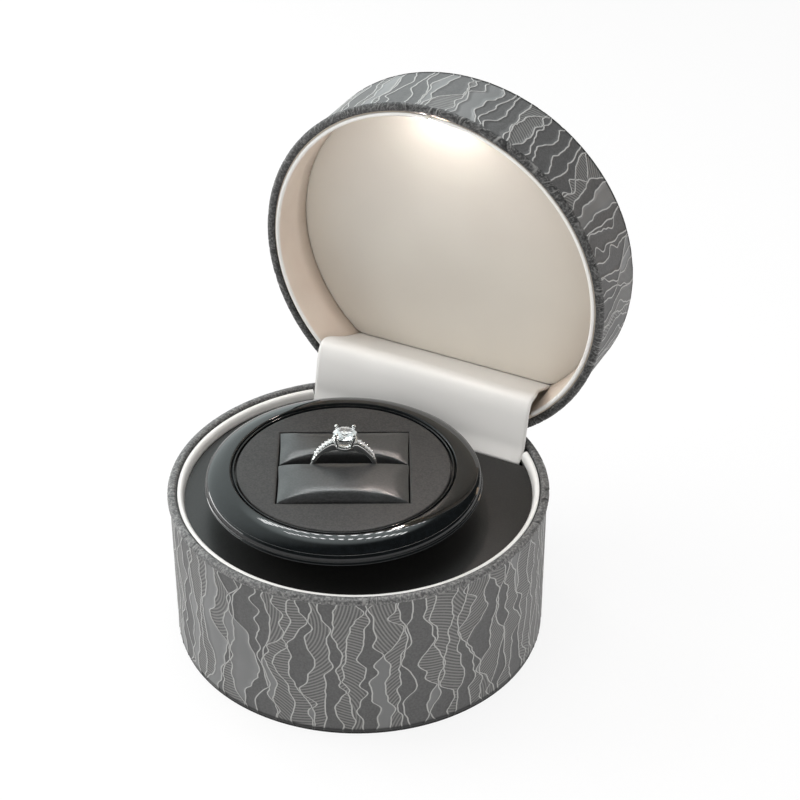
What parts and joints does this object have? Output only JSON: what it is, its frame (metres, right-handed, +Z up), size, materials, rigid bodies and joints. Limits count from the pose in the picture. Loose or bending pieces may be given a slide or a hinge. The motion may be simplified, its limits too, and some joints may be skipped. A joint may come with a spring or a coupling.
{
  "type": "ring presentation box",
  "caption": "Round flat-backed presentation box with a hinged lighted lid and a turning display table that rises as the lid opens, holding one ring.",
  "frame": {"origin": "on the underside, below the middle of the base's round outline", "axes": "+Z up, -Y to the front, +Y towards the hinge at the flat back, +X to the right seen from the front"},
  "size_m": [0.11, 0.1244, 0.1483],
  "materials": {
    "embossed_leatherette": "satin",
    "gathered_binding": "satin",
    "moulded_shell": "matte",
    "underside_sheet": "matte",
    "white_liner": "satin",
    "lid_liner_cream": "satin",
    "floor_velvet": "matte",
    "flap_leatherette": "satin",
    "black_plastic": "matte",
    "bearing_plastic": "satin",
    "steel": "brushed",
    "lid_satin": "satin",
    "circuit_strip": "matte",
    "lamp_lens": "clear",
    "switch_plastic": "matte",
    "gloss_bezel": "gloss",
    "display_cloth": "matte",
    "pad_cloth": "satin",
    "ring_metal": "polished",
    "clear_stone": "clear"
  },
  "bodies": {
    "base": {"base_bottom_panel": "underside_sheet", "base_shell": "moulded_shell", "base_wrap": "embossed_leatherette", "base_rim_binding": "gathered_binding", "base_liner": "white_liner", "floor_panel": "floor_velvet", "flap_clamp_bar": "black_plastic", "hinge_cover_flap": "flap_leatherette", "guide_sleeve": "black_plastic", "guide_screws": "steel", "yoke_guide_rails": "black_plastic", "hinge_leaf_base": "steel", "hinge_pin": "steel", "hinge_spring": "steel", "base_hinge_rivets": "steel"},
    "lid": {"hinge_leaf_lid": "steel", "lid_hinge_rivets": "steel", "lid_shell": "moulded_shell", "lid_wrap": "embossed_leatherette", "lid_top_cover": "embossed_leatherette", "lid_rim_binding": "gathered_binding", "lid_liner": "lid_liner_cream", "lid_lining_panel": "lid_satin", "lift_arm_left": "steel", "lift_arm_right": "steel", "lift_pins": "steel", "lift_arm_screws": "steel", "battery_holder": "black_plastic", "coin_cell": "steel", "lamp_strip": "circuit_strip", "lamp_lens": "lamp_lens", "light_switch": "switch_plastic"},
    "plunger": {"switch_plunger": "switch_plastic"},
    "lift": {"lift_column": "black_plastic", "lift_yoke": "black_plastic", "yoke_grub_screw": "steel", "bearing_washer": "bearing_plastic", "shoulder_screw": "steel"},
    "table": {"turntable_hub": "black_plastic", "pedestal_tube": "black_plastic", "platter_base": "black_plastic", "bezel_ring": "gloss_bezel", "display_disc": "display_cloth", "pad_tray": "black_plastic", "cushion_front": "pad_cloth", "cushion_rear": "pad_cloth", "ring_band": "ring_metal", "ring_head": "ring_metal", "centre_stone": "clear_stone", "side_stones": "clear_stone"}
  },
  "joints": [
    {"name": "lid_hinge", "type": "hinge", "parent": "base", "child": "lid", "pos_m": [0, 0.045, 0.0482], "axis": [1, 0, 0], "range_deg": [0, 88], "deforming": ["hinge_cover_flap"]},
    {"name": "table_lift", "type": "slide", "parent": "base", "child": "lift", "axis": [0, 0, 1], "range_m": [-0.00836, 0]},
    {"name": "table_turn", "type": "hinge", "parent": "lift", "child": "table", "pos_m": [0, -0.0085, 0.0406], "axis": [0, 0, 1], "continuous": true},
    {"name": "switch_press", "type": "slide", "parent": "lid", "child": "plunger", "axis": [0, 0.9994, 0.0349], "range_m": [0, 0.0008]}
  ],
  "couplings": [
    {"joint": "table_lift", "follows": "lid_hinge", "m_per_rad": -0.0054418},
    {"joint": "switch_press", "follows": "lid_hinge", "m_per_rad": 0.0005208}
  ]
}
